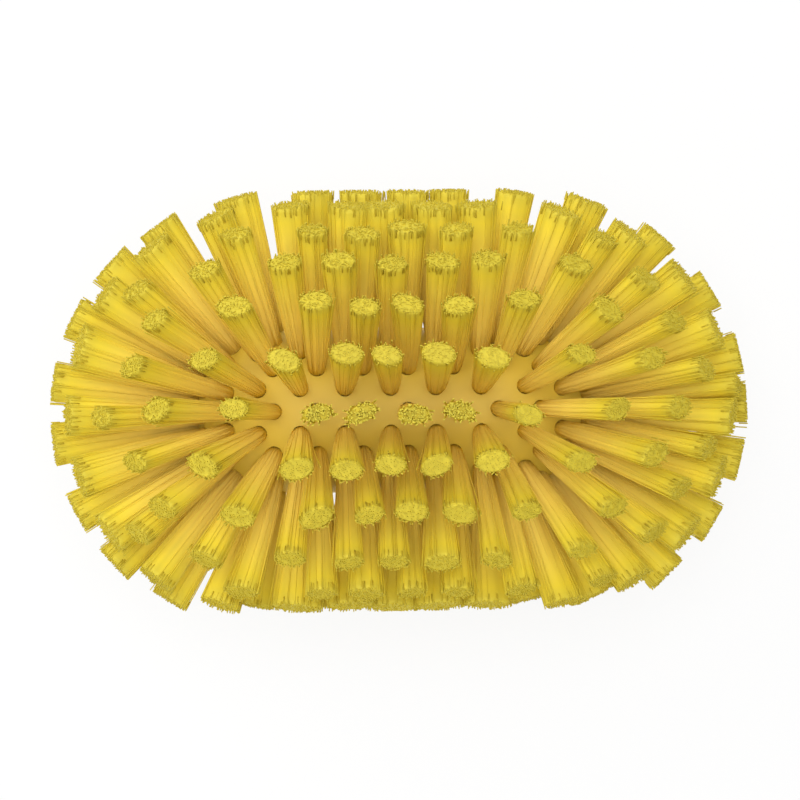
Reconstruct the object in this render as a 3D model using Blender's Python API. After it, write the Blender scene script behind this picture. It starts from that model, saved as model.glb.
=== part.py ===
"""Head of an oval tank brush: a moulded dome, its bristle tufts and its handle socket.

The head stands on the mouth of its socket with the bristles up: X runs along the
oval, Y across it and Z up. The tufts stand in thirteen rows that run along the
dome and fan out over its two ends. Lengths are in metres and angles in radians.
"""
import math
from typing import NamedTuple

import bmesh
import bpy
from mathutils import Matrix, Vector

# The dome, whose plan is a straight-sided oval with round ends
BLOCK_LENGTH = 0.150
BLOCK_WIDTH = 0.060
CROWN_HEIGHT = 0.025
RIDGE_LENGTH = 0.059
SKIN = 0.0030
FIT_GAP = 0.0003

# The rim below the dome and the back that draws in to the socket
RIM_DEPTH = 0.0045
RIM_EDGE_RADIUS = 0.0030
BACK_DEPTH = 0.0050
SEAT_RADIUS = 0.0230

# The handle socket
SOCKET_LENGTH = 0.0280
NECK_RADIUS = 0.0168
MOUTH_RADIUS = 0.0185
MOUTH_BAND = 0.0060
MOUTH_EDGE = 0.0010
BORE_RADIUS = 0.0110
BORE_FLARE = 0.0008
BORE_LEAD = 0.0015

# The rows of tufts
ROWS_A_SIDE = 6
FRINGE_ROWS = 2
ROW_TILT = math.radians(12.95)
TUFT_PITCH = 0.0161
EVEN_ROW_START = 0.0027
ODD_ROW_START = 0.0126
PATTERN_SHIFT = -0.0026
FAN_START = 0.0295
FAN_RADIUS = 0.0549
FAN_LIMIT = math.radians(95.0)
FAN_GAIN = 0.1
ROOT_SPACING = 0.0050
TIP_SPACING = 0.0100
ROW_CUT = 0.0322

# The tufts themselves, which spread more along their row than across it
TUFT_LENGTH = 0.0485
FRINGE_EXTRA = 0.0036
END_EXTRA = 0.0015
LOWER_REACH = 0.0715
ROOT_HALF_WIDTH = 0.0024
ROOT_HALF_DEPTH = 0.0020
TIP_HALF_WIDTH = 0.0058
TIP_HALF_DEPTH = 0.0043
ROOT_SPLIT = 0.00025
TIP_SPLIT = 0.00050
ROOT_SINK = 0.0014
STRANDS_A_TUFT = 3

# How finely the round forms are divided
END_SEGMENTS = 16
BACK_RINGS = 4
ROUND_SEGMENTS = 40
EDGE_SEGMENTS = 3
FILLET_SEGMENTS = 5
SOLVER_STEPS = 40
CROWN_SHARE = 0.25
SMOOTH_ANGLE = math.radians(35)

HALF_WIDTH = BLOCK_WIDTH / 2
END_CENTRE = BLOCK_LENGTH / 2 - HALF_WIDTH
HALF_RIDGE = RIDGE_LENGTH / 2
LAST_RING = ROW_TILT * (ROWS_A_SIDE + 0.5)
SEAT_HEIGHT = SOCKET_LENGTH + FIT_GAP
EQUATOR = SEAT_HEIGHT + BACK_DEPTH + RIM_EDGE_RADIUS + RIM_DEPTH

BRISTLE_YELLOW = (0.76, 0.60, 0.045, 1.0)
MOULDING_YELLOW = (0.72, 0.52, 0.035, 1.0)
BRISTLE_ROUGHNESS = 0.45
MOULDING_ROUGHNESS = 0.38

Ring = tuple[float, float, float]


class Tuft(NamedTuple):
    """One tuft: its row, its root on the dome, its direction, its row's way and its length."""

    row: int
    root: Vector
    direction: Vector
    along: Vector
    length: float

    def tip(self) -> Vector:
        """Return the middle of the tuft's tip."""
        return self.root + self.direction * self.length

    def frame(self) -> Matrix:
        """Return the frame at the root, Z along the bristles and X along the row."""
        across = self.direction.cross(self.along)
        frame = Matrix((self.along, across, self.direction)).transposed().to_4x4()
        frame.translation = self.root
        return frame


def section_point(angle: float, inset: float = 0.0) -> tuple[float, float]:
    """Return how far out and how high the dome is where its normal leans by an angle."""
    width, height = HALF_WIDTH, CROWN_HEIGHT
    reach = math.hypot(width * math.sin(angle), height * math.cos(angle))
    out = width ** 2 * math.sin(angle) / reach - inset * math.sin(angle)
    up = height ** 2 * math.cos(angle) / reach - inset * math.cos(angle)
    return out, up


def end_centre(angle: float) -> float:
    """Return where the round end of the dome's ring at this lean has its centre."""
    return HALF_RIDGE + (END_CENTRE - HALF_RIDGE) * math.sin(angle)


def dome_height(x: float, y: float) -> float:
    """Return the dome's height over its equator at a point of its plan."""
    low, high = 0.0, math.pi / 2
    for _ in range(SOLVER_STEPS):
        middle = (low + high) / 2
        past_end = max(0.0, abs(x) - end_centre(middle))
        if math.hypot(past_end, y) > section_point(middle)[0]:
            low = middle
        else:
            high = middle
    return section_point(low)[1]


def ring_half_width(x: float, angle: float) -> float:
    """Return half the width, at a station, of the dome's ring at a lean."""
    radius = section_point(angle)[0]
    past_end = min(max(0.0, abs(x) - end_centre(angle)), radius)
    return math.sqrt(radius ** 2 - past_end ** 2)


def tuft_at(row: int, place: float) -> Tuft | None:
    """Set one tuft of a row, or none where the row has ended.

    Its place is counted along the row as if the row lay flat. Past the start of the
    fan the tuft leans outwards by as much as the row has turned there. The fringe
    rows go round the ends at their own height, and the rows inside them draw
    together towards the ends.
    """
    side = -1 if row < 0 else 1
    tilt = abs(row) * ROW_TILT
    flat = place - PATTERN_SHIFT
    end = -1 if flat < 0 else 1
    fan = max(0.0, abs(flat) - FAN_START) / FAN_RADIUS
    if fan > FAN_LIMIT:
        return None
    fringe = abs(row) > ROWS_A_SIDE - FRINGE_ROWS
    ring = tilt if fringe else math.pi / 2
    reach = end_centre(ring) + section_point(ring)[0] - FAN_START
    bend = fan + FAN_GAIN * math.sin(2 * fan)
    x = (PATTERN_SHIFT * math.cos(bend) ** 2
         + end * (min(abs(flat), FAN_START) + reach * math.sin(bend)))
    y = side * section_point(tilt)[0] * ring_half_width(x, ring) / section_point(ring)[0]
    root = Vector((x, y, dome_height(x, y)))
    if not fringe and root.z < section_point(ROWS_A_SIDE * ROW_TILT)[1]:
        return None
    if fringe:
        direction = Vector((end * math.sin(tilt) * math.sin(fan),
                            side * math.sin(tilt) * math.cos(fan),
                            math.cos(tilt)))
        along = Vector((end * math.cos(fan), -side * math.sin(fan), 0.0))
    else:
        direction = Vector((end * math.sin(fan),
                            side * math.cos(fan) * math.sin(tilt),
                            math.cos(fan) * math.cos(tilt)))
        along = Vector((end * math.cos(fan),
                        -side * math.sin(fan) * math.sin(tilt),
                        -math.sin(fan) * math.cos(tilt)))
    length = TUFT_LENGTH + FRINGE_EXTRA * (1.0 - direction.z) ** 2 + END_EXTRA * direction.x ** 2
    if direction.y < 0.0:
        spread = math.hypot(TIP_HALF_WIDTH * along.y, TIP_HALF_DEPTH * direction.cross(along).y)
        length = min(length, (LOWER_REACH + y - spread) / -direction.y)
    return Tuft(row, root, direction, along, length)


def plan_tufts() -> list[Tuft]:
    """List every tuft.

    The rows draw together towards the two ends, so a tuft whose root or tip would
    crowd one that is already there is left out, the outermost rows being set first.
    """
    count = math.ceil(BLOCK_LENGTH / TUFT_PITCH)
    rows = sorted(range(-ROWS_A_SIDE, ROWS_A_SIDE + 1), key=lambda row: (-abs(row), row))
    kept = []
    for row in rows:
        start = ODD_ROW_START if row % 2 else EVEN_ROW_START
        for place in sorted(range(-count, count + 1), key=abs):
            tuft = tuft_at(row, start + place * TUFT_PITCH)
            if tuft and all((tuft.root - other.root).length > ROOT_SPACING
                            and (tuft.tip() - other.tip()).length > TIP_SPACING
                            for other in kept):
                kept.append(tuft)
    return kept


def oval(centre: float, radius: float, height: float) -> list[Vector]:
    """Return the points of one oval ring: two half circles with straight sides between."""
    points = []
    for end in (1, -1):
        for step in range(END_SEGMENTS + 1):
            angle = math.pi * (step / END_SEGMENTS - 0.5)
            points.append(Vector((end * (centre + radius * math.cos(angle)),
                                  end * radius * math.sin(angle), height)))
    return points


def loft(rings: list[Ring]) -> bmesh.types.BMesh:
    """Skin a row of oval rings and cap its first and its last."""
    bm = bmesh.new()
    loops = []
    for ring in rings:
        verts = [bm.verts.new(point) for point in oval(*ring)]
        loops.append([bm.edges.new((verts[i - 1], verts[i])) for i in range(len(verts))])
    for lower, upper in zip(loops, loops[1:]):
        bmesh.ops.bridge_loops(bm, edges=lower + upper)
    for loop in (loops[0], loops[-1]):
        bmesh.ops.edgeloop_fill(bm, edges=loop)
    bmesh.ops.recalc_face_normals(bm, faces=bm.faces)
    return bm


def dome_ring(angle: float, inset: float = 0.0) -> Ring:
    """Return the dome's ring at a lean, drawn in by an inset."""
    radius, height = section_point(angle, inset)
    return end_centre(angle), radius, height


def row_leans(steps: int) -> list[float]:
    """List the dome's leans from its rim to its first row, in so many steps a row."""
    return [ROW_TILT * step / steps for step in range(steps * ROWS_A_SIDE + steps // 2, 0, -1)]


def line_leans() -> list[float]:
    """List the leans of the lines between the rows, from the rim upwards."""
    return [ROW_TILT * (row + 0.5) for row in range(ROWS_A_SIDE, -1, -1)]


def block_rings() -> list[Ring]:
    """List the moulded block's rings: seat, back, rim, ledge and the dome under the skin."""
    base = SEAT_HEIGHT - EQUATOR
    rim_foot = HALF_WIDTH - RIM_EDGE_RADIUS
    rings = []
    for step in range(BACK_RINGS + 1):
        share = step / BACK_RINGS
        rings.append((END_CENTRE * share,
                      SEAT_RADIUS + (rim_foot - SEAT_RADIUS) * share,
                      base + BACK_DEPTH * share ** 2))
    for step in range(1, EDGE_SEGMENTS + 1):
        turn = math.pi / 2 * step / EDGE_SEGMENTS
        rings.append((END_CENTRE,
                      rim_foot + RIM_EDGE_RADIUS * math.sin(turn),
                      base + BACK_DEPTH + RIM_EDGE_RADIUS * (1.0 - math.cos(turn))))
    rings.append((END_CENTRE, HALF_WIDTH, 0.0))
    ledge = LAST_RING + FIT_GAP * HALF_WIDTH / CROWN_HEIGHT ** 2
    rings.append(dome_ring(ledge))
    rings.append(dome_ring(ledge, SKIN + FIT_GAP))
    rings += [dome_ring(lean, SKIN + FIT_GAP) for lean in line_leans()]
    return rings


def skin_rings() -> list[Ring]:
    """List the rings of the dome's skin: up its inside reversed, then up its outside."""
    crown = ROW_TILT * CROWN_SHARE
    inside = [dome_ring(lean, SKIN) for lean in reversed(line_leans())]
    outside = [dome_ring(lean) for lean in row_leans(2) + [crown]]
    return inside + outside


def end_skin(end: int) -> bmesh.types.BMesh:
    """Cut the dome's skin off square where its straight rows stop, and keep one end."""
    bm = loft(skin_rings())
    cut = bmesh.ops.bisect_plane(bm, geom=bm.verts[:] + bm.edges[:] + bm.faces[:],
                                 plane_co=(end * (ROW_CUT + FIT_GAP / 2), 0.0, 0.0),
                                 plane_no=(end, 0.0, 0.0), clear_inner=True)
    edges = [item for item in cut["geom_cut"] if isinstance(item, bmesh.types.BMEdge)]
    bmesh.ops.edgeloop_fill(bm, edges=edges)
    bmesh.ops.recalc_face_normals(bm, faces=bm.faces)
    return bm


def row_skin(row: int) -> bmesh.types.BMesh:
    """Extrude the strip of skin that carries the straight part of one row."""
    bm = bmesh.new()
    outline = []
    for inset, order in ((0.0, (-1, 0, 1)), (SKIN, (1, -1))):
        for half in order:
            lean = ROW_TILT * (row + half / 2)
            out, up = section_point(abs(lean), inset)
            trim = -half * FIT_GAP / 2
            outline.append(Vector((0.0,
                                   math.copysign(out, lean) + trim * math.cos(lean),
                                   up - trim * math.sin(lean))))
    start = Vector((-ROW_CUT + FIT_GAP / 2, 0.0, 0.0))
    face = bm.faces.new([bm.verts.new(point + start) for point in outline])
    side = bmesh.ops.extrude_face_region(bm, geom=[face])
    moved = [item for item in side["geom"] if isinstance(item, bmesh.types.BMVert)]
    bmesh.ops.translate(bm, verts=moved, vec=-2 * start)
    bmesh.ops.recalc_face_normals(bm, faces=bm.faces)
    return bm


def strand_outline(turn: float, width: float, depth: float, split: float) -> list[Vector]:
    """Return the kite-shaped outline of one strand, which is one part of a tuft's oval."""
    middle = Vector((math.cos(turn), math.sin(turn), 0.0)) * split
    half = math.pi / STRANDS_A_TUFT
    outline = [middle]
    for lean in (turn - half, turn, turn + half):
        outline.append(middle + Vector(((width - split) * math.cos(lean),
                                        (depth - split) * math.sin(lean), 0.0)))
    return outline


def add_tuft(bm: bmesh.types.BMesh, tuft: Tuft) -> None:
    """Add one tuft's strands, which part from each other as they rise and flare."""
    frame = tuft.frame()
    for index in range(STRANDS_A_TUFT):
        turn = 2 * math.pi * index / STRANDS_A_TUFT
        foot = [frame @ (point - Vector((0.0, 0.0, ROOT_SINK))) for point
                in strand_outline(turn, ROOT_HALF_WIDTH, ROOT_HALF_DEPTH, ROOT_SPLIT)]
        head = [frame @ (point + Vector((0.0, 0.0, tuft.length))) for point
                in strand_outline(turn, TIP_HALF_WIDTH, TIP_HALF_DEPTH, TIP_SPLIT)]
        face = bm.faces.new([bm.verts.new(point) for point in foot])
        raised = bmesh.ops.extrude_face_region(bm, geom=[face])
        for item in raised["geom"]:
            if isinstance(item, bmesh.types.BMVert):
                nearest = min(range(len(foot)), key=lambda corner: (foot[corner] - item.co).length)
                item.co = head[nearest]


def socket_profile() -> list[tuple[float, float]]:
    """Return the socket's profile as radius and height, round its wall from the mouth."""
    wall = [(MOUTH_RADIUS - MOUTH_EDGE, 0.0), (MOUTH_RADIUS, MOUTH_EDGE),
            (MOUTH_RADIUS, MOUTH_BAND),
            (NECK_RADIUS, MOUTH_BAND + MOUTH_RADIUS - NECK_RADIUS)]
    fillet = SEAT_RADIUS - NECK_RADIUS
    for step in range(FILLET_SEGMENTS + 1):
        turn = math.pi / 2 * step / FILLET_SEGMENTS
        wall.append((SEAT_RADIUS - fillet * math.cos(turn),
                     SOCKET_LENGTH - fillet + fillet * math.sin(turn)))
    wall += [(BORE_RADIUS, SOCKET_LENGTH), (BORE_RADIUS + BORE_FLARE, BORE_LEAD),
             (BORE_RADIUS + BORE_FLARE + BORE_LEAD, 0.0)]
    return wall


def build_socket() -> bmesh.types.BMesh:
    """Turn the socket's profile about the handle's axis."""
    bm = bmesh.new()
    verts = [bm.verts.new((radius, 0.0, height)) for radius, height in socket_profile()]
    edges = [bm.edges.new((verts[i - 1], verts[i])) for i in range(len(verts))]
    bmesh.ops.spin(bm, geom=verts + edges, cent=(0.0, 0.0, 0.0), axis=(0.0, 0.0, 1.0),
                   angle=2 * math.pi, steps=ROUND_SEGMENTS, use_merge=True)
    bmesh.ops.recalc_face_normals(bm, faces=bm.faces)
    return bm


def make_object(name: str, bm: bmesh.types.BMesh, parent: bpy.types.Object,
                height: float) -> bpy.types.Object:
    """Turn a bmesh into a smooth-shaded object that stands at a height on the head."""
    mesh = bpy.data.meshes.new(name)
    bm.to_mesh(mesh)
    bm.free()
    mesh.shade_smooth()
    mesh.set_sharp_from_angle(angle=SMOOTH_ANGLE)
    item = bpy.data.objects.new(name, mesh)
    bpy.context.collection.objects.link(item)
    item.parent = parent
    item.location.z = height
    return item


def paint(item: bpy.types.Object, colour: tuple, roughness: float) -> None:
    """Give an object its own plain plastic material."""
    material = bpy.data.materials.new(item.name)
    material.use_nodes = True
    shader = material.node_tree.nodes["Principled BSDF"]
    shader.inputs["Base Color"].default_value = colour
    shader.inputs["Roughness"].default_value = roughness
    shader.inputs["Metallic"].default_value = 0.0
    item.data.materials.append(material)


def add_bristles(item: bpy.types.Object, tufts: list[Tuft]) -> None:
    """Fuse the strands of some tufts to the skin that carries them."""
    bm = bmesh.new()
    for tuft in tufts:
        add_tuft(bm, tuft)
    bmesh.ops.recalc_face_normals(bm, faces=bm.faces)
    guide = make_object(item.name + "_strands", bm, item.parent, EQUATOR)
    guide.hide_render = True
    guide.display_type = "WIRE"
    fuse = item.modifiers.new("strands", "BOOLEAN")
    fuse.operation = "UNION"
    fuse.object = guide


def row_name(row: int) -> str:
    """Name a row of bristles by its side of the ridge and its number from it."""
    if row == 0:
        return "bristle_row_ridge"
    return f"bristle_row_{'front' if row < 0 else 'back'}_{abs(row)}"


def head_middle(tufts: list[Tuft]) -> Vector:
    """Return the middle of the ground that the bristle tips reach over."""
    bm = bmesh.new()
    for tuft in tufts:
        add_tuft(bm, tuft)
    spots = [vert.co.copy() for vert in bm.verts]
    bm.free()
    return Vector(((min(s.x for s in spots) + max(s.x for s in spots)) / 2,
                   (min(s.y for s in spots) + max(s.y for s in spots)) / 2, 0.0))


def main() -> None:
    """Clear the file's own objects and build the head."""
    for item in list(bpy.data.objects):
        bpy.data.objects.remove(item, do_unlink=True)
    tufts = plan_tufts()
    head = bpy.data.objects.new("head", None)
    bpy.context.collection.objects.link(head)
    head.location = -head_middle(tufts)

    block = make_object("block", loft(block_rings()), head, EQUATOR)
    paint(block, MOULDING_YELLOW, MOULDING_ROUGHNESS)
    socket = make_object("handle_socket", build_socket(), head, 0.0)
    paint(socket, MOULDING_YELLOW, MOULDING_ROUGHNESS)
    for row in range(-ROWS_A_SIDE, ROWS_A_SIDE + 1):
        strip = make_object(row_name(row), row_skin(row), head, EQUATOR)
        paint(strip, BRISTLE_YELLOW, BRISTLE_ROUGHNESS)
        add_bristles(strip, [tuft for tuft in tufts
                             if tuft.row == row and abs(tuft.root.x) < ROW_CUT])
    for name, end in (("bristle_end_left", -1), ("bristle_end_right", 1)):
        cap = make_object(name, end_skin(end), head, EQUATOR)
        paint(cap, BRISTLE_YELLOW, BRISTLE_ROUGHNESS)
        add_bristles(cap, [tuft for tuft in tufts if end * tuft.root.x > ROW_CUT])


main()
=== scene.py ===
"""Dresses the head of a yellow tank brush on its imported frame.

The head is one polypropylene moulding: an oval dome with a hole for every tuft, a
rim, and a threaded socket at its back. The tufts are bundles of stiff polyester
filament that fan over the dome. The head stands on its socket with the bristles
up: X runs along the oval, Y across it and Z up. Lengths are in metres.
"""
import logging
import math
import random
from dataclasses import dataclass, field
from enum import Enum

import bmesh
import bpy
from mathutils import Matrix, Vector


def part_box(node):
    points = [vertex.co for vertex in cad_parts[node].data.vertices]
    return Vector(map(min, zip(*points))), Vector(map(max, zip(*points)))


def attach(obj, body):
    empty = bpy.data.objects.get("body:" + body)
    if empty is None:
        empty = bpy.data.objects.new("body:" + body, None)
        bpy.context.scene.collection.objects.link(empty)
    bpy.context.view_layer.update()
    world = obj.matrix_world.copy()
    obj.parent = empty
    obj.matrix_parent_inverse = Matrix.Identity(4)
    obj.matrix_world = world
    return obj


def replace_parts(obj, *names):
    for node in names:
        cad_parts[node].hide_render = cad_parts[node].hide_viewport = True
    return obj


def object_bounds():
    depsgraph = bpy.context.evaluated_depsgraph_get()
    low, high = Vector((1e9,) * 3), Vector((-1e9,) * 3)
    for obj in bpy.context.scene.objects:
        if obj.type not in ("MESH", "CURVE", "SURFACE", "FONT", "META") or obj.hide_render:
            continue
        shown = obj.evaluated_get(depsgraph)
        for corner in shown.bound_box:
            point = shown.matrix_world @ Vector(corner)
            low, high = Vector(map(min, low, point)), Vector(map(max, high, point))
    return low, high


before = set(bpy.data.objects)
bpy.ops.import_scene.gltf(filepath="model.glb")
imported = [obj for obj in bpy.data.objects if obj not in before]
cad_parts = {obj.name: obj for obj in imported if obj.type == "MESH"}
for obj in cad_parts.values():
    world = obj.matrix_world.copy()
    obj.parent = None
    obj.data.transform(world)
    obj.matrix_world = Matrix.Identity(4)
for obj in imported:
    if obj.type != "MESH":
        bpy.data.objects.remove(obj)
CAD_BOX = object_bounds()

log = logging.getLogger("tank_brush")

MM = 0.001
RIDGE = "row_ridge"

# Threads set this turn from one another fill a tuft evenly.
GOLDEN_ANGLE = math.pi * (3 - math.sqrt(5))

# A Mix node names its sockets alike for every kind of value, so these go by number.
MIX_SHARE, MIX_FIRST, MIX_SECOND, MIX_RESULT = 0, 6, 7, 2

# An oval ring: where the centre of its round end lies, its radius and its height.
Ring = tuple[float, float, float]


class Slot(Enum):
    """The record's material slots."""

    MOULDING = "moulding"
    BRISTLE = "bristle"


class Side(Enum):
    """The two long sides of the ridge, by the sign of Y."""

    BACK = 1
    FRONT = -1

    @classmethod
    def of(cls, row: int) -> "Side":
        """Return the side that a row lies on; the ridge itself counts to the back."""
        return cls.FRONT if row < 0 else cls.BACK


def linear(code: str) -> tuple[float, float, float, float]:
    """Turn an sRGB hex colour to linear light.

    Args:
        code: The colour as "#RRGGBB".

    Returns:
        Red, green, blue and an alpha of one.
    """
    foot_end, foot_slope, offset, power = 0.04045, 12.92, 0.055, 2.4
    channels = []
    for start in (1, 3, 5):
        value = int(code[start:start + 2], 16) / 255
        channels.append(value / foot_slope if value <= foot_end
                        else ((value + offset) / (1 + offset)) ** power)
    return (*channels, 1.0)


def add_node(tree: bpy.types.NodeTree, kind: str, values: dict | None = None,
             links: dict | None = None, **settings: object) -> bpy.types.Node:
    """Add a node with its settings, its socket values and its links.

    Args:
        tree: The node tree that it joins.
        kind: The node's type.
        values: Input sockets by name or number, with their values.
        links: Input sockets by name or number, with the output sockets that feed them.
        **settings: The node's own properties.

    Returns:
        The node.
    """
    node = tree.nodes.new(kind)
    for name, value in settings.items():
        setattr(node, name, value)
    for socket, value in (values or {}).items():
        node.inputs[socket].default_value = value
    for socket, source in (links or {}).items():
        tree.links.new(source, node.inputs[socket])
    return node


def blank_material(name: str) -> tuple[bpy.types.Material, bpy.types.NodeTree]:
    """Make a material with an empty node tree.

    Args:
        name: The material's name.

    Returns:
        The material and its node tree.
    """
    material = bpy.data.materials.new(name)
    material.use_nodes = True
    material.node_tree.nodes.clear()
    return material, material.node_tree


def direct_view(tree: bpy.types.NodeTree) -> bpy.types.NodeSocket:
    """Tell the rays that the eye follows from those that only carry light.

    Args:
        tree: The node tree that asks.

    Returns:
        The output that is one for the camera, for reflections and behind clear things,
        and zero for all other rays.
    """
    path = add_node(tree, "ShaderNodeLightPath").outputs
    seen = add_node(tree, "ShaderNodeMath",
                    links={0: path["Is Camera Ray"], 1: path["Is Glossy Ray"]}, operation="ADD")
    through = add_node(tree, "ShaderNodeMath",
                       links={0: seen.outputs[0], 1: path["Is Transmission Ray"]},
                       operation="ADD", use_clamp=True)
    return through.outputs[0]


@dataclass(frozen=True)
class MouldedPolypropylene:
    """Polypropylene straight from a smooth mould.

    The eye sees an even yellow, deeper than the plastic's own as painted shade for the
    shade that the tufts throw on the dome, with a soft sheen, a faint unevenness where
    the plastic flowed, and a fine grain that only breaks up the highlights.
    """

    name: str = "moulded_polypropylene"
    # Both colours are the plastic's yellow made deeper, painted shade for the shade that the
    # tufts throw on the dome; the flow noise mixes them at random.
    colour: str = "#E2C542"
    flow_colour: str = "#DDBC3C"
    ior: float = 1.49
    specular: float = 0.4
    roughness_low: float = 0.42
    roughness_high: float = 0.52
    flow_size: float = 14 * MM
    flow_detail: float = 3.0
    # The mould's grain is about 0.1 mm across; it is drawn at 0.5 mm so that it shows.
    grain_size: float = 0.5 * MM
    grain_height: float = 0.012 * MM
    grain_detail: float = 2.0

    def material(self) -> bpy.types.Material:
        """Build the material.

        Returns:
            The material, ready to be assigned.
        """
        material, tree = blank_material(self.name)
        place = add_node(tree, "ShaderNodeTexCoord").outputs["Object"]
        flow = add_node(tree, "ShaderNodeTexNoise",
                        {"Scale": 1 / self.flow_size, "Detail": self.flow_detail},
                        {"Vector": place})
        tint = add_node(tree, "ShaderNodeMix",
                        {MIX_FIRST: linear(self.flow_colour), MIX_SECOND: linear(self.colour)},
                        {MIX_SHARE: flow.outputs["Fac"]}, data_type="RGBA")
        gloss = add_node(tree, "ShaderNodeMapRange",
                         {"To Min": self.roughness_low, "To Max": self.roughness_high},
                         {"Value": flow.outputs["Fac"]})
        grain = add_node(tree, "ShaderNodeTexNoise",
                         {"Scale": 1 / self.grain_size, "Detail": self.grain_detail},
                         {"Vector": place})
        bump = add_node(tree, "ShaderNodeBump", {"Distance": self.grain_height},
                        {"Height": grain.outputs["Fac"]})
        shader = add_node(tree, "ShaderNodeBsdfPrincipled",
                          {"IOR": self.ior, "Specular IOR Level": self.specular},
                          {"Base Color": tint.outputs[MIX_RESULT],
                           "Roughness": gloss.outputs["Result"],
                           "Normal": bump.outputs["Normal"]})
        add_node(tree, "ShaderNodeOutputMaterial", links={"Surface": shader.outputs["BSDF"]})
        return material


@dataclass(frozen=True)
class DrawnPolyester:
    """Crimp-free polyester filament, dyed through and cut square at its end.

    The colours along a thread are painted light and shade: a lighter, paler yellow low in
    the tuft, painted light for the light that would pass from thread to thread down there,
    a clear lemon yellow towards the tips, and a deeper, greener one on the cut ends,
    painted shade where the lamps fall full on them. No two threads have quite the same tone.
    """

    name: str = "drawn_polyester"
    # The four colours along a thread are painted light and shade: the root and shaft colours
    # are lighter, painted light deep in the tuft, and the tip and cut colours darker, painted
    # shade where the lamps fall full.
    root_colour_painted_light: str = "#FFE47C"
    shaft_colour_painted_light: str = "#FFE56C"
    tip_colour_painted_shade: str = "#EAD43E"
    cut_colour_painted_shade: str = "#D4C240"
    shaft_share: float = 0.45
    tip_share: float = 0.88
    tone_spread: float = 0.08
    ior: float = 1.57
    specular: float = 0.15
    roughness: float = 0.6

    def material(self) -> bpy.types.Material:
        """Build the material, which reads each thread's tone and the height along it.

        Returns:
            The material, ready to be assigned.
        """
        material, tree = blank_material(self.name)
        rise = add_node(tree, "ShaderNodeAttribute", attribute_name="rise").outputs["Fac"]
        tone = add_node(tree, "ShaderNodeAttribute", attribute_name="tone").outputs["Fac"]
        # The ramp paints light and shade along the thread, lightest at the root and darkest on
        # the cut end.
        ramp = add_node(tree, "ShaderNodeValToRGB", links={"Fac": rise})
        stops = ramp.color_ramp.elements
        stops[0].color = linear(self.root_colour_painted_light)
        stops[1].color = linear(self.cut_colour_painted_shade)
        stops.new(self.shaft_share).color = linear(self.shaft_colour_painted_light)
        stops.new(self.tip_share).color = linear(self.tip_colour_painted_shade)
        shade = add_node(tree, "ShaderNodeMapRange",
                         {"To Min": 1 - self.tone_spread, "To Max": 1 + self.tone_spread},
                         {"Value": tone})
        tint = add_node(tree, "ShaderNodeVectorMath",
                        links={0: ramp.outputs["Color"], "Scale": shade.outputs["Result"]},
                        operation="SCALE")
        shader = add_node(tree, "ShaderNodeBsdfPrincipled",
                          {"IOR": self.ior, "Specular IOR Level": self.specular,
                           "Roughness": self.roughness},
                          {"Base Color": tint.outputs[0]})
        add_node(tree, "ShaderNodeOutputMaterial", links={"Surface": shader.outputs["BSDF"]})
        return material


@dataclass(frozen=True)
class PaleSweep:
    """The floor under the part: a plain white sheet that keeps a soft shadow."""

    name: str = "pale_sweep"
    colour: str = "#F4F4F4"
    glow: float = 1.0
    glow_share: float = 0.86

    def material(self) -> bpy.types.Material:
        """Build the material, which looks white to the camera and to reflections.

        Returns:
            The material, ready to be assigned.
        """
        material, tree = blank_material(self.name)
        share = add_node(tree, "ShaderNodeMath", {1: self.glow_share}, {0: direct_view(tree)},
                         operation="MULTIPLY")
        sheet = add_node(tree, "ShaderNodeBsdfDiffuse", {"Color": linear(self.colour)})
        glow = add_node(tree, "ShaderNodeEmission", {"Strength": self.glow})
        mixed = add_node(tree, "ShaderNodeMixShader",
                         links={0: share.outputs[0], 1: sheet.outputs[0], 2: glow.outputs[0]})
        add_node(tree, "ShaderNodeOutputMaterial", links={"Surface": mixed.outputs[0]})
        return material


def finish_piece(name: str, bm: bmesh.types.BMesh, material: bpy.types.Material,
                 sharp: float | None) -> bpy.types.Object:
    """Turn a bmesh into a finished piece that rides on the head.

    Args:
        name: The piece's name.
        bm: Its shape, in world metres, which is freed.
        material: Its finish.
        sharp: The angle past which an edge is sharp, or None where it is marked already.

    Returns:
        The piece.
    """
    mesh = bpy.data.meshes.new(name)
    bm.to_mesh(mesh)
    bm.free()
    if sharp is not None:
        mesh.shade_smooth()
        mesh.set_sharp_from_angle(angle=sharp)
    mesh.materials.append(material)
    piece = bpy.data.objects.new(name, mesh)
    bpy.context.collection.objects.link(piece)
    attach(piece, "root")
    log.info("%s: %d faces", name, len(mesh.polygons))
    return piece


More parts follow.
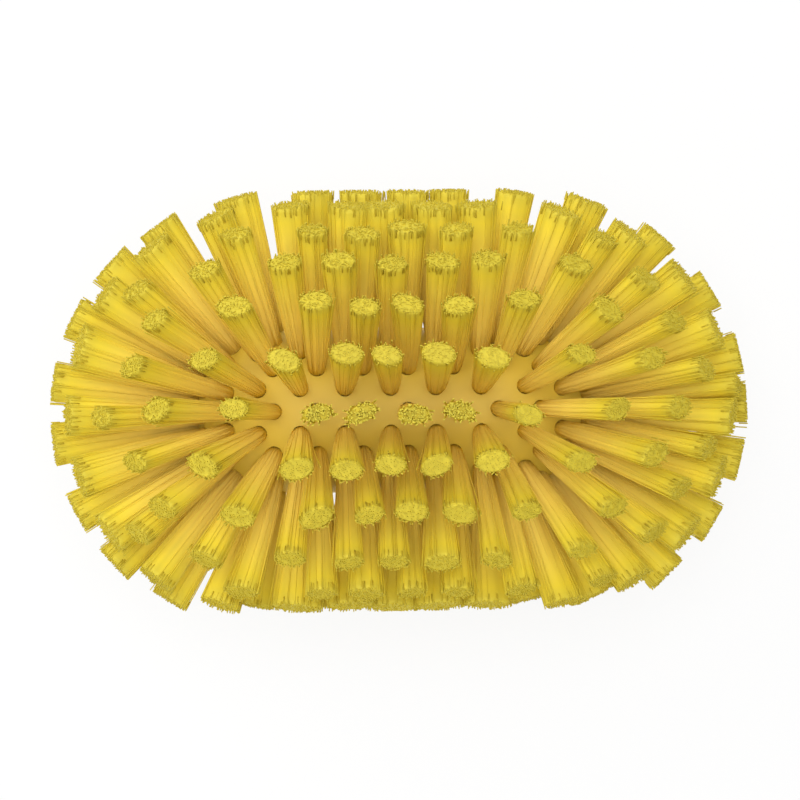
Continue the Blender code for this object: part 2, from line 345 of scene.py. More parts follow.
@dataclass(frozen=True)
class Dome:
    """The tufted face of the head, an oval dome whose section is half an ellipse.

    Its top is a straight ridge, and its height there is the crown. A lean is the angle
    between the vertical and the section's normal, and it names a ring of the dome.
    """

    length: float = 150 * MM
    width: float = 60 * MM
    crown: float = 25 * MM
    ridge: float = 59 * MM
    solver_steps: int = 40

    @property
    def half_width(self) -> float:
        """Half the dome's width at its rim."""
        return self.width / 2

    @property
    def rim_centre(self) -> float:
        """Where the round ends of the rim have their centres."""
        return self.length / 2 - self.half_width

    def section(self, lean: float) -> tuple[float, float]:
        """Find the section's point where its normal leans by an angle.

        Args:
            lean: The angle between the normal and the vertical.

        Returns:
            How far out and how high over the rim it lies.
        """
        reach = math.hypot(self.half_width * math.sin(lean), self.crown * math.cos(lean))
        return (self.half_width ** 2 * math.sin(lean) / reach,
                self.crown ** 2 * math.cos(lean) / reach)

    def end_centre(self, lean: float) -> float:
        """Return where the round ends of the ring at this lean have their centres."""
        return self.ridge / 2 + (self.rim_centre - self.ridge / 2) * math.sin(lean)

    def ring(self, lean: float) -> Ring:
        """Return the dome's ring at a lean as centre, radius and height over the rim."""
        return (self.end_centre(lean), *self.section(lean))

    def height(self, x: float, y: float) -> float:
        """Find how high the dome is over its rim.

        Args:
            x: The place along the oval.
            y: The place across it.

        Returns:
            The height.
        """
        low, high = 0.0, math.pi / 2
        for _ in range(self.solver_steps):
            middle = (low + high) / 2
            past_end = max(0.0, abs(x) - self.end_centre(middle))
            if math.hypot(past_end, y) > self.section(middle)[0]:
                low = middle
            else:
                high = middle
        return self.section(low)[1]

    def half_width_at(self, x: float, lean: float) -> float:
        """Find half the width of a ring at one place along the oval.

        Args:
            x: The place along the oval.
            lean: The ring's lean.

        Returns:
            The half width there.
        """
        radius = self.section(lean)[0]
        past_end = min(max(0.0, abs(x) - self.end_centre(lean)), radius)
        return math.sqrt(radius ** 2 - past_end ** 2)


@dataclass(frozen=True)
class Tuft:
    """One tuft: its row, its root on the dome, its direction and its length.

    Along is the way its row runs there, in which its threads spread the most.
    """

    row: int
    root: Vector
    direction: Vector
    along: Vector
    length: float

    def tip(self) -> Vector:
        """Return the middle of the tuft's tip."""
        return self.root + self.direction * self.length

    def frame(self) -> Matrix:
        """Find the frame at the root, Z along the bristles and X along the row.

        Returns:
            The frame, measured from the middle of the dome's rim.
        """
        across = self.direction.cross(self.along).normalized()
        matrix = Matrix((self.along, across, self.direction)).transposed().to_4x4()
        matrix.translation = self.root
        return matrix


@dataclass(frozen=True)
class TuftLayout:
    """The thirteen rows of tufts, set alternately, which fan over the dome's two ends.

    A row runs straight as far as the fan's start, to either side of a middle that is
    shifted a little along the oval. From there it turns with the dome's end.
    """

    dome: Dome = field(default_factory=Dome)
    rows_a_side: int = 6
    fringe_rows: int = 2
    row_tilt: float = math.radians(12.95)
    pitch: float = 16.1 * MM
    # Even and odd rows start at different places, so that their tufts alternate.
    even_start: float = 2.7 * MM
    odd_start: float = 12.6 * MM
    shift: float = -2.6 * MM
    fan_start: float = 29.5 * MM
    fan_radius: float = 54.9 * MM
    fan_limit: float = math.radians(95.0)
    # The roots run a little ahead of the tufts' turn halfway round an end.
    fan_gain: float = 0.1
    root_spacing: float = 5.0 * MM
    tip_spacing: float = 10.0 * MM
    # Past this place along the oval a tuft belongs to the end, not to its row.
    row_cut: float = 32.2 * MM
    length: float = 48.5 * MM
    # Tufts that lean far are longer, and so are those that point along the oval.
    fringe_extra: float = 3.6 * MM
    end_extra: float = 1.5 * MM
    # The front's fringe is cut to a straight line this far out, spread and all.
    lower_reach: float = 71.5 * MM
    tip_width: float = 5.8 * MM
    tip_depth: float = 4.3 * MM

    def tuft_at(self, row: int, along: float) -> Tuft | None:
        """Place one tuft.

        Args:
            row: The row's number from the ridge, negative on the front.
            along: The tuft's place in the row as if the row lay flat.

        Returns:
            The tuft, or None where the row has ended.
        """
        dome = self.dome
        side = Side.of(row).value
        tilt = abs(row) * self.row_tilt
        flat = along - self.shift
        end = -1 if flat < 0 else 1
        fan = max(0.0, abs(flat) - self.fan_start) / self.fan_radius
        if fan > self.fan_limit:
            return None
        fringe = abs(row) > self.rows_a_side - self.fringe_rows
        ring = tilt if fringe else math.pi / 2
        reach = dome.end_centre(ring) + dome.section(ring)[0] - self.fan_start
        bend = fan + self.fan_gain * math.sin(2 * fan)
        x = (self.shift * math.cos(bend) ** 2
             + end * (min(abs(flat), self.fan_start) + reach * math.sin(bend)))
        y = side * dome.section(tilt)[0] * dome.half_width_at(x, ring) / dome.section(ring)[0]
        root = Vector((x, y, dome.height(x, y)))
        if not fringe and root.z < dome.section(self.rows_a_side * self.row_tilt)[1]:
            return None
        if fringe:
            direction = Vector((end * math.sin(tilt) * math.sin(fan),
                                side * math.sin(tilt) * math.cos(fan),
                                math.cos(tilt)))
            along_row = Vector((end * math.cos(fan), -side * math.sin(fan), 0.0))
        else:
            direction = Vector((end * math.sin(fan),
                                side * math.cos(fan) * math.sin(tilt),
                                math.cos(fan) * math.cos(tilt)))
            along_row = Vector((end * math.cos(fan),
                                -side * math.sin(fan) * math.sin(tilt),
                                -math.sin(fan) * math.cos(tilt)))
        length = (self.length + self.fringe_extra * (1.0 - direction.z) ** 2
                  + self.end_extra * direction.x ** 2)
        if direction.y < 0.0:
            spread = math.hypot(self.tip_width * along_row.y,
                                self.tip_depth * direction.cross(along_row).y)
            length = min(length, (self.lower_reach + y - spread) / -direction.y)
        return Tuft(row, root, direction, along_row, length)

    def plan(self) -> list[Tuft]:
        """List every tuft, leaving out one that would crowd one set before it.

        Returns:
            The tufts, the outermost rows first.
        """
        count = math.ceil(self.dome.length / self.pitch)
        rows = sorted(range(-self.rows_a_side, self.rows_a_side + 1),
                      key=lambda row: (-abs(row), row))
        kept: list[Tuft] = []
        for row in rows:
            start = self.odd_start if row % 2 else self.even_start
            for place in sorted(range(-count, count + 1), key=abs):
                tuft = self.tuft_at(row, start + place * self.pitch)
                if tuft is None:
                    continue
                if all((tuft.root - other.root).length > self.root_spacing
                       and (tuft.tip() - other.tip()).length > self.tip_spacing
                       for other in kept):
                    kept.append(tuft)
        return kept


@dataclass
class Moulding:
    """The one moulding that is the dome, its rim, its back and the handle's socket."""

    layout: TuftLayout
    axis: Vector
    # The block's rim and back. The gap is the one that the solids leave over the socket.
    skin_gap: float = 0.3 * MM
    rim_depth: float = 4.5 * MM
    rim_edge: float = 3.0 * MM
    back_depth: float = 5.0 * MM
    # The handle's socket, from its seat under the back down to its mouth.
    seat_radius: float = 23.0 * MM
    socket_length: float = 28.0 * MM
    neck_radius: float = 16.8 * MM
    mouth_radius: float = 18.5 * MM
    mouth_band: float = 6.0 * MM
    mouth_edge: float = 1.0 * MM
    bore_radius: float = 11.0 * MM
    bore_flare: float = 0.8 * MM
    bore_lead: float = 1.5 * MM
    # The tuft holes, which keep a wall between them.
    hole_radius: float = 2.95 * MM
    hole_depth: float = 2.2 * MM
    hole_wall: float = 0.35 * MM
    cutter_rise: float = 2.0 * MM
    # How finely the rings are drawn.
    end_segments: int = 36
    side_segments: int = 24
    edge_segments: int = 6
    fillet_segments: int = 10
    back_rings: int = 12
    dome_rings: int = 30
    hole_segments: int = 20
    # The last ring stops this share of a step short of the crown, where one face caps it.
    crown_share: float = 0.6
    merge: float = 0.001 * MM
    sharp: float = math.radians(38)
    # The coarse thread in the bore.
    thread_pitch: float = 5.0 * MM
    thread_depth: float = 0.9 * MM
    thread_foot: float = 2.6 * MM
    thread_crest: float = 0.8 * MM
    thread_sunk: float = 0.15 * MM
    thread_start: float = 4.0 * MM
    thread_turns: float = 3.75
    thread_steps: int = 48

    @property
    def equator(self) -> float:
        """How high the dome's rim lies over the mouth of the socket."""
        return (self.socket_length + self.skin_gap + self.back_depth + self.rim_edge
                + self.rim_depth)

    def oval(self, ring: Ring) -> list[Vector]:
        """List the points round one oval ring.

        Args:
            ring: The ring's end centre, radius and height.

        Returns:
            Two half circles with the points of the straight sides between them.
        """
        centre, radius, height = ring
        points = []
        for end in (1, -1):
            for step in range(self.end_segments + 1):
                angle = math.pi * (step / self.end_segments - 0.5)
                points.append(Vector((end * (centre + radius * math.cos(angle)),
                                      end * radius * math.sin(angle), height)))
            for step in range(1, self.side_segments):
                share = 1 - 2 * step / self.side_segments
                points.append(Vector((end * centre * share, end * radius, height)))
        return points

    def socket_rings(self) -> list[Ring]:
        """List the socket's rings, down the bore and then up its outside.

        Returns:
            The rings, as circles about the axis.
        """
        rings = [(0.0, self.bore_radius, self.socket_length),
                 (0.0, self.bore_radius + self.bore_flare, self.bore_lead),
                 (0.0, self.bore_radius + self.bore_flare + self.bore_lead, 0.0)]
        for step in range(self.edge_segments + 1):
            turn = math.pi / 2 * step / self.edge_segments
            rings.append((0.0, self.mouth_radius - self.mouth_edge * (1 - math.sin(turn)),
                          self.mouth_edge * (1 - math.cos(turn))))
        shoulder = self.mouth_radius - self.neck_radius
        rings.append((0.0, self.mouth_radius, self.mouth_band))
        rings.append((0.0, self.neck_radius, self.mouth_band + shoulder))
        fillet = self.seat_radius - self.neck_radius
        for step in range(self.fillet_segments + 1):
            turn = math.pi / 2 * step / self.fillet_segments
            rings.append((0.0, self.seat_radius - fillet * math.cos(turn),
                          self.socket_length - fillet * (1 - math.sin(turn))))
        return rings

    def block_rings(self) -> list[Ring]:
        """List the block's rings: its back, the rounded edge of its rim and the dome.

        Returns:
            The rings, from the socket's seat to the crown.
        """
        dome = self.layout.dome
        seat = self.socket_length + self.skin_gap
        foot = dome.half_width - self.rim_edge
        rings = []
        for step in range(self.back_rings + 1):
            share = step / self.back_rings
            rings.append((dome.rim_centre * share,
                          self.seat_radius + (foot - self.seat_radius) * share,
                          seat + self.back_depth * share ** 2))
        for step in range(1, self.edge_segments + 1):
            turn = math.pi / 2 * step / self.edge_segments
            rings.append((dome.rim_centre, foot + self.rim_edge * math.sin(turn),
                          seat + self.back_depth + self.rim_edge * (1 - math.cos(turn))))
        for step in range(self.dome_rings + 1):
            lean = math.pi / 2 * (1 - step / (self.dome_rings + self.crown_share))
            centre, radius, height = dome.ring(lean)
            rings.append((centre, radius, self.equator + height))
        return rings

    def shell(self) -> bmesh.types.BMesh:
        """Bridge the rings from the bore's floor to the dome's crown and cap both.

        Returns:
            The moulding without its tuft holes.
        """
        bm = bmesh.new()
        loops = []
        for ring in self.socket_rings() + self.block_rings():
            verts = [bm.verts.new(point + self.axis) for point in self.oval(ring)]
            loops.append([bm.edges.new((verts[i - 1], verts[i])) for i in range(len(verts))])
        for lower, upper in zip(loops, loops[1:]):
            bmesh.ops.bridge_loops(bm, edges=lower + upper)
        for loop in (loops[0], loops[-1]):
            bmesh.ops.edgeloop_fill(bm, edges=loop)
        bmesh.ops.remove_doubles(bm, verts=bm.verts, dist=self.merge)
        bmesh.ops.dissolve_degenerate(bm, edges=bm.edges, dist=self.merge)
        bmesh.ops.recalc_face_normals(bm, faces=bm.faces)
        return bm

    def hole_cutters(self, tufts: list[Tuft]) -> bmesh.types.BMesh:
        """Set a short round cutter at every tuft's root.

        Args:
            tufts: The tufts.

        Returns:
            The cutters, none of which meets another.
        """
        bm = bmesh.new()
        base = self.axis + Vector((0.0, 0.0, self.equator))
        for tuft in tufts:
            nearest = min((tuft.root - other.root).length for other in tufts
                          if other is not tuft)
            radius = min(self.hole_radius, nearest / 2 - self.hole_wall)
            depth = self.hole_depth + self.cutter_rise
            drop = Matrix.Translation((0.0, 0.0, depth / 2 - self.hole_depth))
            bmesh.ops.create_cone(bm, cap_ends=True, segments=self.hole_segments,
                                  radius1=radius, radius2=radius, depth=depth,
                                  matrix=Matrix.Translation(base) @ tuft.frame() @ drop)
        return bm

    def build(self, tufts: list[Tuft], material: bpy.types.Material) -> bpy.types.Object:
        """Build the moulding with its tuft holes.

        Args:
            tufts: The tufts that it holds.
            material: Its finish.

        Returns:
            The piece, which stands for the block and the socket.
        """
        cutter_mesh = bpy.data.meshes.new("tuft_holes")
        cutters = self.hole_cutters(tufts)
        cutters.to_mesh(cutter_mesh)
        cutters.free()
        cutter = bpy.data.objects.new("tuft_holes", cutter_mesh)
        blank_mesh = bpy.data.meshes.new("blank")
        shell = self.shell()
        shell.to_mesh(blank_mesh)
        shell.free()
        blank = bpy.data.objects.new("blank", blank_mesh)
        for item in (cutter, blank):
            bpy.context.collection.objects.link(item)
        cut = blank.modifiers.new("tuft_holes", "BOOLEAN")
        cut.operation = "DIFFERENCE"
        cut.object = cutter
        depsgraph = bpy.context.evaluated_depsgraph_get()
        bm = bmesh.new()
        bm.from_mesh(blank.evaluated_get(depsgraph).to_mesh())
        for item, mesh in ((blank, blank_mesh), (cutter, cutter_mesh)):
            bpy.data.objects.remove(item)
            bpy.data.meshes.remove(mesh)
        piece = finish_piece("moulded_head", bm, material, self.sharp)
        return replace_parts(piece, "block", "handle_socket")

    def build_thread(self, material: bpy.types.Material) -> bpy.types.Object:
        """Wind the coarse thread that takes the handle inside the bore.

        Args:
            material: Its finish.

        Returns:
            The piece.
        """
        bm = bmesh.new()
        wall = self.bore_radius + self.thread_sunk
        crest = self.bore_radius - self.thread_depth
        profile = ((wall, -self.thread_foot / 2), (crest, -self.thread_crest / 2),
                   (crest, self.thread_crest / 2), (wall, self.thread_foot / 2))
        verts = [bm.verts.new(self.axis + Vector((radius, 0.0, self.thread_start + rise)))
                 for radius, rise in profile]
        section = bm.faces.new(verts)
        steps = round(self.thread_steps * self.thread_turns)
        climb = Vector((0.0, 0.0, self.thread_pitch / self.thread_steps))
        bmesh.ops.spin(bm, geom=[section], cent=self.axis, axis=(0.0, 0.0, 1.0), dvec=climb,
                       angle=2 * math.pi * self.thread_turns, steps=steps, use_merge=False)
        bmesh.ops.recalc_face_normals(bm, faces=bm.faces)
        return finish_piece("socket_thread", bm, material, self.sharp)


@dataclass(frozen=True)
class FilamentCut:
    """How a tuft's threads are sized, set and cut.

    The radii are pairs: along the row, in which the anchor spreads the threads, and
    across it. The middle of a tuft is packed so close that its threads run as one
    core, and part from each other only near the tip. The core's end is rounded off, so
    that no rim of it shows between the threads. Levels run from 0 in the hole to 1 at
    the tip.
    """

    threads: int = 200
    thickness: float = 0.46 * MM
    sides: int = 4
    root_radii: tuple[float, float] = (2.85 * MM, 2.55 * MM)
    tip_radii: tuple[float, float] = (5.8 * MM, 3.8 * MM)
    fringe_tip_radii: tuple[float, float] = (7.7 * MM, 4.6 * MM)
    flare_power: float = 0.68
    sink: float = 1.6 * MM
    thread_levels: tuple[float, ...] = (0.0, 0.25, 0.6, 0.9, 1.0)
    core_share: float = 0.94
    core_levels: tuple[float, ...] = (0.0, 0.12, 0.3, 0.55, 0.955, 0.976, 0.985)
    core_taper: tuple[float, ...] = (1.0, 1.0, 1.0, 1.0, 1.01, 0.98, 0.85)
    core_columns: int = 28
    # The threads that stand over the core start inside its end.
    loose_levels: tuple[float, ...] = (0.94, 1.0)
    # How late a thread bends: the higher the power, the nearer to its tip.
    bend_power: float = 2.0
    spot_jitter: float = 0.10
    tip_jitter: float = 0.30 * MM
    sway: float = 0.42 * MM
    stray_share: float = 0.05
    stray_sway: float = 2.0 * MM
    stray_least_share: float = 0.5
    length_jitter: float = 0.5 * MM
    lean_jitter: float = math.radians(1.2)
    twist_jitter: float = math.radians(12.0)
    spread_jitter: float = 0.06
    # A tuft that is cut short at the front has been pressed wider along its row.
    pressed_spread: float = 1.25
    tone_middle: float = 0.5
    tone_jitter: float = 0.22


# The upright tufts on the ridge have fewer and coarser threads, which have sprung open
# near their ends and curl every way.
OPEN_CUT = FilamentCut(threads=150, thickness=0.62 * MM, tip_radii=(5.8 * MM, 3.2 * MM),
                       core_levels=(0.0, 0.12, 0.3, 0.55, 0.925, 0.955, 0.963),
                       loose_levels=(0.88, 0.95, 1.0), bend_power=10.0, sway=1.1 * MM)


@dataclass
class BristleBand:
    """The tufts that one bristle node stands for: a straight row, or a fan at one end."""

    name: str
    node: str
    tufts: list[Tuft]
    base: Vector
    layout: TuftLayout
    cut: FilamentCut
    seed: int

    def tip_radii(self, tuft: Tuft, rng: random.Random) -> tuple[float, float]:
        """Choose how wide a tuft spreads.

        Args:
            tuft: The tuft.
            rng: The tuft's own random numbers.

        Returns:
            Its half widths at its tip, along its row and across it.
        """
        fringe = abs(tuft.row) > self.layout.rows_a_side - self.layout.fringe_rows
        wide, deep = self.cut.fringe_tip_radii if fringe else self.cut.tip_radii
        pressed = tuft.length < self.layout.length and tuft.direction.y < 0.0
        spread = 1.0 + rng.gauss(0.0, self.cut.spread_jitter)
        return wide * spread * (self.cut.pressed_spread if pressed else 1.0), deep * spread

    def spot(self, tuft: Tuft, radii: tuple[float, float], turn: float, share: float,
             level: float) -> Vector:
        """Find a point in a tuft.

        Args:
            tuft: The tuft.
            radii: Its half widths at its tip.
            turn: The angle round its middle.
            share: How far out it is, from 0 in the middle to 1 at the edge.
            level: How far up it is, from 0 in the hole to 1 at the tip.

        Returns:
            The point in the tuft's own frame.
        """
        flare = level ** self.cut.flare_power
        wide, deep = (foot + (tip - foot) * flare for foot, tip
                      in zip(self.cut.root_radii, radii))
        return Vector((share * wide * math.cos(turn), share * deep * math.sin(turn),
                       (tuft.length + self.cut.sink) * level - self.cut.sink))

    def thread_path(self, tuft: Tuft, radii: tuple[float, float], turn: float, share: float,
                    levels: tuple[float, ...], rng: random.Random) -> list[Vector]:
        """Work out where one thread runs.

        Args:
            tuft: The tuft.
            radii: Its half widths at its tip.
            turn: The thread's angle round the tuft's middle.
            share: How far out it stands, from 0 in the middle to 1 at the edge.
            levels: The levels at which it has a point.
            rng: The tuft's own random numbers.

        Returns:
            Its points in the tuft's own frame.
        """
        cut = self.cut
        aside = rng.uniform(0.0, 2 * math.pi)
        reach = abs(rng.gauss(0.0, cut.sway))
        if rng.random() < cut.stray_share:
            reach = cut.stray_sway * rng.uniform(cut.stray_least_share, 1.0)
        bend = Vector((math.cos(aside), math.sin(aside), 0.0)) * reach
        bend += Vector((rng.gauss(0.0, cut.tip_jitter), rng.gauss(0.0, cut.tip_jitter),
                        -abs(rng.gauss(0.0, cut.length_jitter))))
        return [self.spot(tuft, radii, turn, share, level) + bend * level ** cut.bend_power
                for level in levels]

    def trimmed(self, path: list[Vector]) -> list[Vector]:
        """Shorten a path whose thread would pass the box of the solids.

        Args:
            path: The path, in world metres.

        Returns:
            The path, drawn in towards its foot as far as it has to be.
        """
        foot, tip = path[0], path[-1]
        share = 1.0
        for axis in range(3):
            for side, way in zip(CAD_BOX, (-1, 1)):
                limit = side[axis] - way * self.cut.thickness / 2
                if (tip[axis] - limit) * way > 0.0:
                    share = min(share, (limit - foot[axis]) / (tip[axis] - foot[axis]))
        return [foot + (point - foot) * share for point in path]

    @staticmethod
    def raise_faces(bm: bmesh.types.BMesh, ends: list[bmesh.types.BMFace],
                    paths: list[list[Vector]], levels: tuple[float, ...]) -> None:
        """Extrude faces upwards, each corner along the path whose number it holds.

        The first faces stay as the feet, and each later one goes when the next is raised
        from it, so that nothing is left inside.

        Args:
            bm: The bmesh, whose corners hold the number of their path.
            ends: The faces.
            paths: The paths.
            levels: The level of each of a path's points.
        """
        number = bm.verts.layers.int["path"]
        rise = bm.verts.layers.float["rise"]
        for step in range(1, len(levels)):
            raised = bmesh.ops.extrude_face_region(bm, geom=ends)
            if step > 1:
                bmesh.ops.delete(bm, geom=ends, context="FACES_ONLY")
            ends = [item for item in raised["geom"] if isinstance(item, bmesh.types.BMFace)]
            for item in raised["geom"]:
                if isinstance(item, bmesh.types.BMVert):
                    path = paths[item[number]]
                    item.co += path[step] - path[step - 1]
                    item[rise] = levels[step]
        bmesh.ops.recalc_face_normals(bm, faces=bm.faces)
        for face in bm.faces:
            face.smooth = True
        for face in ends:
            for edge in face.edges:
                edge.smooth = False

    @staticmethod
    def blank() -> bmesh.types.BMesh:
        """Start a bmesh that keeps each corner's path, level and tone.

        Returns:
            The empty bmesh with its three layers.
        """
        bm = bmesh.new()
        bm.verts.layers.int.new("path")
        bm.verts.layers.float.new("rise")
        bm.verts.layers.float.new("tone")
        return bm

    def threads(self, paths: list[list[Vector]], levels: tuple[float, ...], facing: Matrix,
                rng: random.Random) -> bmesh.types.BMesh:
        """Raise threads along their paths.

        Args:
            paths: The paths, in world metres.
            levels: The level of each of a path's points.
            facing: The rotation that turns Z to the tuft's direction.
            rng: The tuft's own random numbers.

        Returns:
            The threads.
        """
        bm = self.blank()
        number = bm.verts.layers.int["path"]
        rise = bm.verts.layers.float["rise"]
        tone = bm.verts.layers.float["tone"]
        for index, path in enumerate(paths):
            spin = Matrix.Rotation(rng.uniform(0.0, math.pi / 2), 4, "Z")
            made = bmesh.ops.create_circle(bm, cap_ends=True, segments=self.cut.sides,
                                           radius=self.cut.thickness / 2,
                                           matrix=Matrix.Translation(path[0]) @ facing @ spin)
            shade = min(max(rng.gauss(self.cut.tone_middle, self.cut.tone_jitter), 0.0), 1.0)
            for vert in made["verts"]:
                vert[number] = index
                vert[rise] = levels[0]
                vert[tone] = shade
        self.raise_faces(bm, list(bm.faces), paths, levels)
        return bm

    def core(self, tuft: Tuft, radii: tuple[float, float], place: Matrix,
             rng: random.Random) -> bmesh.types.BMesh:
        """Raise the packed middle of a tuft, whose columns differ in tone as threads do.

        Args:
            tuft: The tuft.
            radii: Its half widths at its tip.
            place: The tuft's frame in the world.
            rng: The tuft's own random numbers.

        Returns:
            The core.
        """
        cut = self.cut
        paths = []
        for column in range(cut.core_columns):
            turn = 2 * math.pi * column / cut.core_columns
            path = [self.spot(tuft, radii, turn, cut.core_share * taper, level)
                    for level, taper in zip(cut.core_levels, cut.core_taper)]
            paths.append(self.trimmed([place @ point for point in path]))
        bm = self.blank()
        number = bm.verts.layers.int["path"]
        tone = bm.verts.layers.float["tone"]
        made = bmesh.ops.create_circle(bm, cap_ends=True, segments=cut.core_columns,
                                       radius=cut.root_radii[0])
        for index, vert in enumerate(made["verts"]):
            vert.co = paths[index][0]
            vert[number] = index
            vert[tone] = rng.random()
        self.raise_faces(bm, list(bm.faces), paths, cut.core_levels)
        return bm

    def add_tuft(self, target: bmesh.types.BMesh, tuft: Tuft, rng: random.Random) -> None:
        """Build one tuft.

        Args:
            target: The bmesh of the whole band, which takes the tuft in.
            tuft: The tuft.
            rng: The tuft's own random numbers.
        """
        cut = self.cut
        place = (Matrix.Translation(self.base) @ tuft.frame()
                 @ Matrix.Rotation(rng.gauss(0.0, cut.lean_jitter), 4, "X")
                 @ Matrix.Rotation(rng.gauss(0.0, cut.lean_jitter), 4, "Y")
                 @ Matrix.Rotation(rng.gauss(0.0, cut.twist_jitter), 4, "Z"))
        facing = place.to_quaternion().to_matrix().to_4x4()
        radii = self.tip_radii(tuft, rng)
        start = rng.uniform(0.0, 2 * math.pi)
        outer, loose = [], []
        for index in range(cut.threads):
            share = math.sqrt((index + 0.5) / cut.threads)
            turn = start + index * GOLDEN_ANGLE + rng.gauss(0.0, cut.spot_jitter)
            packed = share < cut.core_share
            levels = cut.loose_levels if packed else cut.thread_levels
            path = self.thread_path(tuft, radii, turn, share, levels, rng)
            (loose if packed else outer).append(self.trimmed([place @ point for point in path]))
        for bm in (self.core(tuft, radii, place, rng),
                   self.threads(outer, cut.thread_levels, facing, rng),
                   self.threads(loose, cut.loose_levels, facing, rng)):
            mesh = bpy.data.meshes.new("tuft")
            bm.to_mesh(mesh)
            bm.free()
            target.from_mesh(mesh)
            bpy.data.meshes.remove(mesh)

    def build(self, material: bpy.types.Material) -> bpy.types.Object:
        """Build the band's threads.

        Args:
            material: Their finish.

        Returns:
            The piece, which stands for its bristle node.
        """
        bm = bmesh.new()
        for index, tuft in enumerate(self.tufts):
            self.add_tuft(bm, tuft, random.Random(self.seed + index))
        piece = finish_piece(self.name, bm, material, None)
        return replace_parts(piece, self.node)


@dataclass
class TankBrushHead:
    """The whole head: the moulding and every band of bristles."""

    layout: TuftLayout = field(default_factory=TuftLayout)
    cut: FilamentCut = field(default_factory=FilamentCut)
    seed: int = 4100
    seed_step: int = 100

    @staticmethod
    def row_name(row: int) -> str:
        """Name a row by its side of the ridge and its number from it."""
        return f"row_{Side.of(row).name.lower()}_{abs(row)}" if row else RIDGE

    def bands(self, tufts: list[Tuft], base: Vector) -> list[BristleBand]:
        """Share the tufts out among the bristle nodes.

        Args:
            tufts: The tufts.
            base: The middle of the dome's rim, in world metres.

        Returns:
            The bands, the straight rows first and the two ends last.
        """
        cut_at = self.layout.row_cut
        shares: list[tuple[str, list[Tuft]]] = []
        for row in range(-self.layout.rows_a_side, self.layout.rows_a_side + 1):
            held = [tuft for tuft in tufts if tuft.row == row and abs(tuft.root.x) < cut_at]
            shares.append((self.row_name(row), held))
        for name, end in (("end_left", -1), ("end_right", 1)):
            shares.append((name, [tuft for tuft in tufts if end * tuft.root.x > cut_at]))
        return [BristleBand(f"filaments_{name}", f"bristle_{name}", held, base, self.layout,
                            OPEN_CUT if name == RIDGE else self.cut,
                            self.seed + self.seed_step * number)
                for number, (name, held) in enumerate(shares)]

    def build(self) -> None:
        """Build and dress every piece in order."""
        low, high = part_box("block")
        axis = Vector(((low[0] + high[0]) / 2, (low[1] + high[1]) / 2, 0.0))
        tufts = self.layout.plan()
        moulding = Moulding(self.layout, axis)
        plastic = MouldedPolypropylene().material()
        moulding.build(tufts, plastic)
        moulding.build_thread(plastic)
        base = axis + Vector((0.0, 0.0, moulding.equator))
        polyester = DrawnPolyester().material()
        for band in self.bands(tufts, base):
            band.build(polyester)


@dataclass(frozen=True)
class Lamp:
    """A square soft box that points at the head."""

    name: str
    place: tuple[float, float, float]
    size: float
    power: float

    def build(self, aim: Vector) -> None:
        """Hang the lamp and turn it to the point that it lights.

        Args:
            aim: That point, in world metres.
        """
        data = bpy.data.lights.new(self.name, "AREA")
        data.size = self.size
        data.energy = self.power
        lamp = bpy.data.objects.new(self.name, data)
        bpy.context.collection.objects.link(lamp)
        lamp.location = self.place
        lamp.rotation_euler = (aim - lamp.location).to_track_quat("-Z", "Y").to_euler()


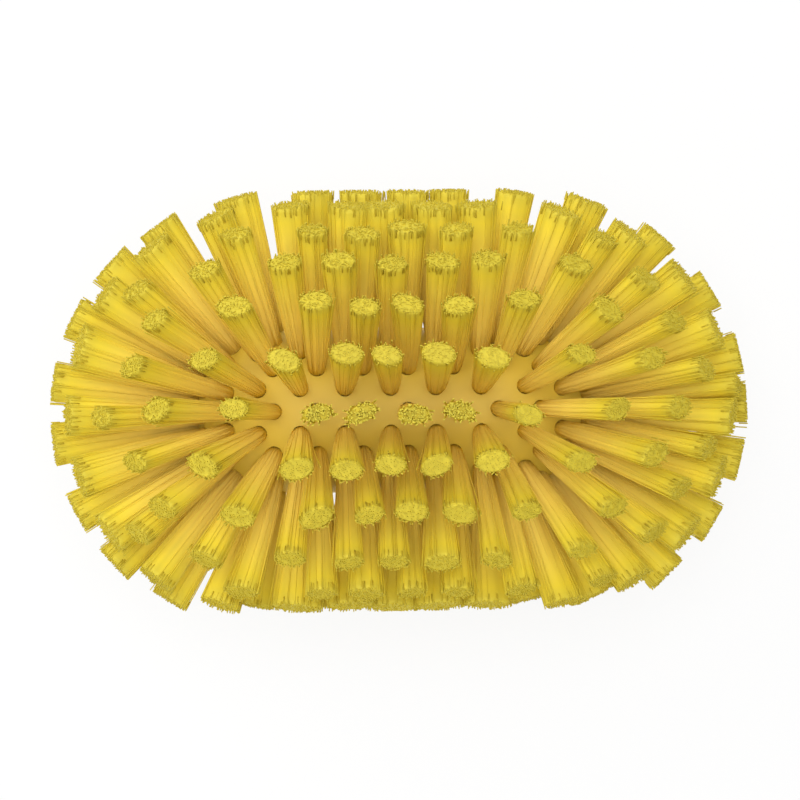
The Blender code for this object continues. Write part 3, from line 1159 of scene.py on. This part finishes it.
@dataclass(frozen=True)
class Studio:
    """The floor, the room's even light, three soft boxes and the camera over the bristles.

    The key light comes from the upper left of the picture, a weak one fills the front,
    and the strongest hangs overhead.
    """

    lamps: tuple[Lamp, ...] = (Lamp("key", (-0.80, 0.75, 0.75), 1.0, 5.0),
                               Lamp("front", (-0.45, -1.00, 0.60), 1.0, 1.5),
                               Lamp("overhead", (-0.08, 0.15, 1.30), 0.9, 10.0))
    aim: tuple[float, float, float] = (0.0, 0.0, 0.06)
    floor_size: float = 6.0
    sky: str = "#FFFFFF"
    sky_strength: float = 0.50
    camera_place: tuple[float, float, float] = (-0.01625, -0.00098, 0.7794)
    # How far its line of sight leans off the vertical, as slopes along X and Y.
    camera_slopes: tuple[float, float] = (0.0221, 0.0008)
    camera_roll: float = math.radians(-0.8)
    lens: float = 90.7
    sensor: float = 36.0

    def build_floor(self) -> None:
        """Lay the floor that the head stands on."""
        bm = bmesh.new()
        bmesh.ops.create_grid(bm, x_segments=1, y_segments=1, size=self.floor_size / 2)
        mesh = bpy.data.meshes.new("floor")
        bm.to_mesh(mesh)
        bm.free()
        mesh.materials.append(PaleSweep().material())
        floor = bpy.data.objects.new("floor", mesh)
        bpy.context.collection.objects.link(floor)

    def build_sky(self) -> None:
        """Light the room evenly, and show white to the camera and to reflections."""
        world = bpy.data.worlds.new("room")
        bpy.context.scene.world = world
        world.use_nodes = True
        tree = world.node_tree
        tree.nodes.clear()
        room = add_node(tree, "ShaderNodeBackground",
                        {"Color": linear(self.sky), "Strength": self.sky_strength})
        white = add_node(tree, "ShaderNodeBackground", {"Color": linear(self.sky)})
        mixed = add_node(tree, "ShaderNodeMixShader",
                         links={0: direct_view(tree), 1: room.outputs[0], 2: white.outputs[0]})
        add_node(tree, "ShaderNodeOutputWorld", links={"Surface": mixed.outputs[0]})

    def build_camera(self) -> None:
        """Set the camera over the bristles, looking down, a little aslant and rolled."""
        data = bpy.data.cameras.new("camera")
        data.lens = self.lens
        data.sensor_width = self.sensor
        camera = bpy.data.objects.new("camera", data)
        bpy.context.collection.objects.link(camera)
        camera.location = self.camera_place
        slope_x, slope_y = self.camera_slopes
        turn = (Matrix.Rotation(self.camera_roll, 4, "Z")
                @ Matrix.Rotation(-math.atan(slope_x), 4, "Y")
                @ Matrix.Rotation(math.atan(slope_y), 4, "X"))
        camera.rotation_euler = turn.to_euler()
        bpy.context.scene.camera = camera

    def build(self) -> None:
        """Set up the whole studio."""
        self.build_floor()
        self.build_sky()
        for lamp in self.lamps:
            lamp.build(Vector(self.aim))
        self.build_camera()
        bpy.context.scene.view_settings.view_transform = "Standard"


def main() -> None:
    """Build the head and its studio."""
    logging.basicConfig(level=logging.INFO, format="%(name)s: %(message)s")
    Studio().build()
    TankBrushHead().build()


if __name__ == "__main__":
    main()
